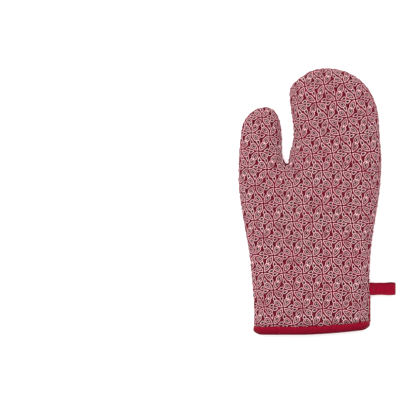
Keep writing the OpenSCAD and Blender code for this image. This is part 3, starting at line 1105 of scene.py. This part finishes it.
def cuff_stations(count):
    """Turns that are evenly spaced round the cuff, and their places along it in millimetres."""
    share = (1 - np.cos(np.linspace(0, math.pi, 600))) / 2
    turn = np.concatenate([share, 2 - share[::-1][1:]])
    points = cuff_points(turn, 0, 0)[:, [0, 2]]
    way = line_way(points)
    at = way[-1] * np.arange(count) / count
    return np.interp(at, way, turn), at, way[-1]


def cuff_outward(turn):
    """The direction out of the cuff's outer face at each turn."""
    step = 1e-4
    a, b = cuff_points(turn - step, 0, 0), cuff_points((turn + step) % 2, 0, 0)
    run = (b - a)[:, [0, 2]]
    return units(np.stack([-run[:, 1], np.zeros(len(run)), run[:, 0]], axis=1))


turns, cuff_way, cuff_round = cuff_stations(CUFF_STATIONS)
outward = cuff_outward(turns)
stitch_count = round(cuff_round / STITCH_STEP_CUFF)
stitch_turn = 2 * math.pi * cuff_way * stitch_count / cuff_round


def around(waves, shift):
    """A slow wave that closes on itself round the cuff."""
    return np.sin(2 * math.pi * cuff_way * waves / cuff_round + shift)


def binding_mesh():
    """The tape's section all the way round the cuff: points, triangles and cloth places."""
    rings, cloth = [], []
    for (t, y), way in zip(BIND_SECTION, line_way(BIND_SECTION)):
        ring = cuff_points(turns, t, y)
        if t < OUTER_LEG:
            soft = SOFT * (around(17, 0.8 + 0.3 * y) + 0.7 * around(41, 0.5 * y))
            near_row = math.exp(-((y - STITCH_Y) / PINCH_WIDE) ** 2)
            pinch = -PINCH * near_row * (1 + 0.6 * np.cos(stitch_turn))
            ring = ring + outward * (soft + pinch)[:, None]
        ring[:, 1] += (UNEVEN * around(9, 1.1) + FINE_UNEVEN * around(23, 2.0)) * (y / BIND_W)
        rings.append(ring)
        cloth.append(np.stack([cuff_way, np.full(len(turns), way)], axis=1))
    points, faces = tube_mesh(np.stack(rings, axis=1))
    points[:, 2] = np.maximum(points[:, 2], LOW)
    return points, faces[:, ::-1], np.stack(cloth, axis=1).reshape(-1, 2)


points, faces, cloth = binding_mesh()
binding = add_piece("cuff_tape", points, faces, tape, cloth)
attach(binding, "hand")
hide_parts("cuff_binding")

STITCH_OUT, PRESSED = 0.12, 1.5
stitches = []
for k in range(stitch_count):
    here = np.interp((k + np.array(STITCH_SPAN)) * cuff_round / stitch_count, cuff_way, turns)
    a, b = cuff_points(here, -STITCH_OUT, STITCH_Y)
    # under the mitt the stitches are pressed up into the tape
    a[2], b[2] = np.maximum((a[2], b[2]), PRESSED * THREAD_R)
    stitches.append((a, b, cuff_outward(here).mean(axis=0)))
piece = add_stitches("cuff_stitching", stitches)
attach(piece, "hand")
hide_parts("binding_stitching")

# -------- the hanging loop

swing = joints["loop_swing"]
pivot = np.array(swing["pos_m"]) / MM - ORIGIN
SIDEWAYS = [0, 2]
LOOP_R, LOOP_T = 5.2, 1.15
# The soft tape stands a little proud of its CAD solid: at the end, and at the edge away from the cuff
LOOP_PROUD = 0.8
LOOP_W = loop_high[1] - loop_low[1] + LOOP_PROUD
loop_end = np.array([loop_high[0] - ORIGIN[0] - LOOP_R + LOOP_PROUD, LOOP_R])
loop_axis = loop_end - pivot[SIDEWAYS]
LOOP_REACH = float(np.linalg.norm(loop_axis))
loop_axis = loop_axis / LOOP_REACH
loop_side = np.array([-loop_axis[1], loop_axis[0]])
PLY, TUCK = 0.62, 4.5
END_TURN, PATH_SMOOTHING = 78, 12


def loop_path(step=0.6):
    """The middle of the tape, out along the upper ply, round the end and back, and the way to each point."""
    r = LOOP_R - LOOP_T / 2
    turn = np.radians(np.linspace(END_TURN, -END_TURN, 40))
    end = np.stack([LOOP_REACH + r * np.cos(turn), r * np.sin(turn)], axis=1)
    out = [(-TUCK, PLY), (0, PLY), (5, PLY), (8, 1.15), (12, 2.3), (16, 3.4), (20, 4.15), (23, 4.5)]
    line = np.array([*out, *end, *[(u, -v) for u, v in out[::-1]]])
    long = line_way(line)[-1]
    line = spaced(line, step)
    for _ in range(PATH_SMOOTHING):
        line[1:-1] = 0.5 * line[1:-1] + 0.25 * (line[2:] + line[:-2])
    return line, np.linspace(0, long, len(line))


TAPE_SECTION = (
    # across the tape, from its middle, and out of its face, as shares of its half width and half thickness
    (-1.0, 0.0), (-0.99, 0.5), (-0.96, 0.85), (-0.90, 0.95), (-0.84, 0.80), (-0.78, 0.62), (-0.72, 0.82),
    (-0.62, 1.0), (-0.30, 1.05), (0.0, 0.98), (0.30, 1.05), (0.62, 1.0), (0.72, 0.82), (0.78, 0.62),
    (0.84, 0.80), (0.90, 0.95), (0.96, 0.85), (0.99, 0.5), (1.0, 0.0),
)
# Its edges wave from side to side, are a little uneven, and are puckered along the stitches
LOOP_WAVE, LOOP_FINE_WAVE, WAVE_OVER, LOOP_UNEVEN, ROW_PUCKER = 0.35, 0.15, 10, 0.015, 0.05
# The edge stitches: where they are across the tape, and how far apart and how long
EDGE_ROW, ROW_HALF, ROW_STEP, ROW_STITCH = 0.78, 0.08, 3.0, 2.5
# They lie in the face this share of the tape's thickness out, and keep off its ends
ROW_OUT, ROW_FROM, ROW_TO = 0.36, 3, 5

line, tape_way = loop_path()
out_of_face = -side_frame(line)[0]


def tape_places(across, out):
    """Points on the tape for places across it and out of its face. The loop's inside is minus."""
    at = line + out_of_face * out[:, None]
    flat = pivot[SIDEWAYS] + at[:, :1] * loop_axis + at[:, 1:] * loop_side
    wave = LOOP_WAVE * np.sin(tape_way * 0.16 + 0.7) + LOOP_FINE_WAVE * np.sin(tape_way * 0.45)
    middle = pivot[1] + LOOP_PROUD / 2 + wave * smooth_step(tape_way / WAVE_OVER)
    return np.stack([flat[:, 0], middle + across, flat[:, 1]], axis=1)


# The tape's other face has a place of its own on the flat cloth, this far off
FACE_OFF = 40


def loop_mesh():
    """The tape's section all along the loop: points, triangles and cloth places."""
    rings, cloth = [], []
    for face, off, section in ((1, 0, TAPE_SECTION), (-1, FACE_OFF, TAPE_SECTION[-2:0:-1])):
        for w, h in section:
            wide = LOOP_W / 2 * (1 + LOOP_UNEVEN * np.sin(tape_way * 0.31 + 2 * np.sign(w)))
            in_row = abs(abs(w) - EDGE_ROW) < ROW_HALF
            deep = LOOP_T / 2 * (1 + ROW_PUCKER * in_row * np.sin(tape_way * 2 * math.pi / ROW_STEP))
            rings.append(tape_places(w * wide, face * h * deep))
            cloth.append(np.stack([tape_way, np.full(len(line), w * LOOP_W / 2 + off)], axis=1))
    points, faces = tube_mesh(np.stack(rings, axis=1), closed=False)
    cloth = np.stack(cloth, axis=1).reshape(-1, 2)
    return points, faces, np.concatenate([cloth, cloth[:2]])


def swings(piece):
    """Bakes a piece of the loop's place into its mesh."""
    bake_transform(piece)


points, faces, cloth = loop_mesh()
loop = add_piece("loop_tape", points, faces, tape, cloth)
swings(loop)
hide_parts("hanging_loop")

stitches = []
turned = out_of_face[:, :1] * loop_axis + out_of_face[:, 1:] * loop_side
up = np.stack([turned[:, 0], np.zeros(len(line)), turned[:, 1]], axis=1)
for side in (-1, 1):
    row = tape_places(side * EDGE_ROW * LOOP_W / 2, np.full(len(line), ROW_OUT * LOOP_T))
    for a in np.arange(TUCK + ROW_FROM, tape_way[-1] - TUCK - ROW_TO, ROW_STEP):
        first, last = np.searchsorted(tape_way, [a, a + ROW_STITCH])
        stitches.append((row[first], row[last], (up[first] + up[last]) / 2))
piece = add_stitches("loop_stitching", stitches)
swings(piece)

TACK_FROM, TACK_TO, TACK_HALF, TACK_STITCHES, TACK_R = 2.4, 4.0, 5.5, 20, 0.20
stitches = []
for face in (1, -1):
    out = face * loop_side
    for k in range(TACK_STITCHES):
        places = []
        for u, share in ((TACK_FROM, k), (TACK_TO, k + 0.5)):
            v = -TACK_HALF + 2 * TACK_HALF * share / TACK_STITCHES
            x, z = pivot[SIDEWAYS] + u * loop_axis + (PLY + LOOP_T / 2) * out
            places.append((x, pivot[1] + v, z))
        stitches.append((*places, (out[0], 0, out[1])))
piece = add_stitches("bar_tack", stitches, TACK_R)
swings(piece)
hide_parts("loop_bar_tack")

# -------- the tape in the side seam below the loop

# Its thickness, how far it stands out, half its height and how far it goes in
FIN_PLY, FIN_OUT, FIN_HALF, FIN_IN = 0.42, 0.65, 0.55, 1.8
# It starts under the binding and ends short of the loop
FIN_LOW, FIN_GAP, FIN_STEP = 8.5, 0.3, 1.2
FIN_WAVE, FIN_FINE_WAVE = 0.12, 0.08
# Its place on the flat tape, across from the binding's
FIN_ACROSS = -20


def seam_fin():
    """A folded tape that stands out of the side seam, from the binding to the loop: its surface and cloth."""
    side = spaced(np.concatenate([right_start, curve(HAND_RIGHT)]), 0.3)
    low, high = FIN_LOW + CUFF_RISE, pivot[1] - (LOOP_W - LOOP_PROUD) / 2 - FIN_GAP
    line = spaced(side[(side[:, 1] > low) & (side[:, 1] < high)], FIN_STEP)
    turn = np.radians(np.linspace(-90, 90, 9))
    across = [-FIN_IN, -FIN_IN / 2, *(FIN_OUT - FIN_HALF + FIN_HALF * np.cos(turn)), -FIN_IN / 2, -FIN_IN]
    up = [-FIN_HALF, -FIN_HALF, *(FIN_HALF * np.sin(turn)), FIN_HALF, FIN_HALF]
    way = line_way(np.stack([across, up], axis=1))
    along = line_way(line)
    wave = FIN_WAVE * np.sin(along * 0.9) + FIN_FINE_WAVE * np.sin(along * 2.3 + 1)
    points = np.stack([np.stack([line[:, 0] + a + wave, line[:, 1], np.full(len(line), SEAM_Z + u)], axis=1)
                       for a, u in zip(across, up)], axis=1)
    place = np.stack(np.broadcast_arrays(along[:, None], way + FIN_ACROSS), axis=-1)
    return points.reshape(-1, 3), grid_faces(*points.shape[:2]), place.reshape(-1, 2)


points, faces, cloth = seam_fin()
points, faces = thick(points, faces, normals_of(points, faces), np.full(len(points), FIN_PLY))
fin = add_piece("seam_tape", points, faces, tape, np.concatenate([cloth, cloth]))
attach(fin, "hand")
cuff_round * MM

# -------- camera, floor and light

CAMERA_UP, VIEW_WIDE = 4.0, 0.480
VIEW_MIDDLE = (-0.14025, 0.0014)
camera_data = bpy.data.cameras.new("camera")
camera = linked("camera", camera_data)
bpy.context.scene.camera = camera
camera_data.sensor_width = 36
camera_data.lens = camera_data.sensor_width * CAMERA_UP / VIEW_WIDE
camera.location = (*VIEW_MIDDLE, CAMERA_UP + SEAM_Z * MM)

FLOOR = 3.0
floor_mesh = bpy.data.meshes.new("floor")
floor_mesh.from_pydata([(-FLOOR, -FLOOR, 0), (FLOOR, -FLOOR, 0), (FLOOR, FLOOR, 0), (-FLOOR, FLOOR, 0)], [],
                       [(0, 1, 2, 3)])
floor = linked("floor", floor_mesh)
floor_paint = bpy.data.materials.new("floor")
floor_paint.use_nodes = True
paint = floor_paint.node_tree.nodes["Principled BSDF"].inputs
paint["Base Color"].default_value = (0.95, 0.95, 0.95, 1)
paint["Roughness"].default_value = 0.9
paint["Emission Color"].default_value = (1, 1, 1, 1)
paint["Emission Strength"].default_value = 0.4
floor_mesh.materials.append(floor_paint)

world = bpy.data.worlds.new("studio")
bpy.context.scene.world = world
world.use_nodes = True
background = world.node_tree.nodes["Background"].inputs
background[0].default_value = (1, 1, 1, 1)
background[1].default_value = 0.86

# A square area light that looks at the mitt
KEY_PLACE, KEY_SIZE, KEY_POWER = (-0.45, 0.55, 1.6), 1.5, 15.5
key_data = bpy.data.lights.new("key", "AREA")
key_data.size, key_data.energy = KEY_SIZE, KEY_POWER
key_light = linked("key", key_data)
key_light.location = KEY_PLACE
key_light.rotation_euler = Vector(KEY_PLACE).to_track_quat("Z", "Y").to_euler()
bpy.context.scene.view_settings.view_transform = "Standard"
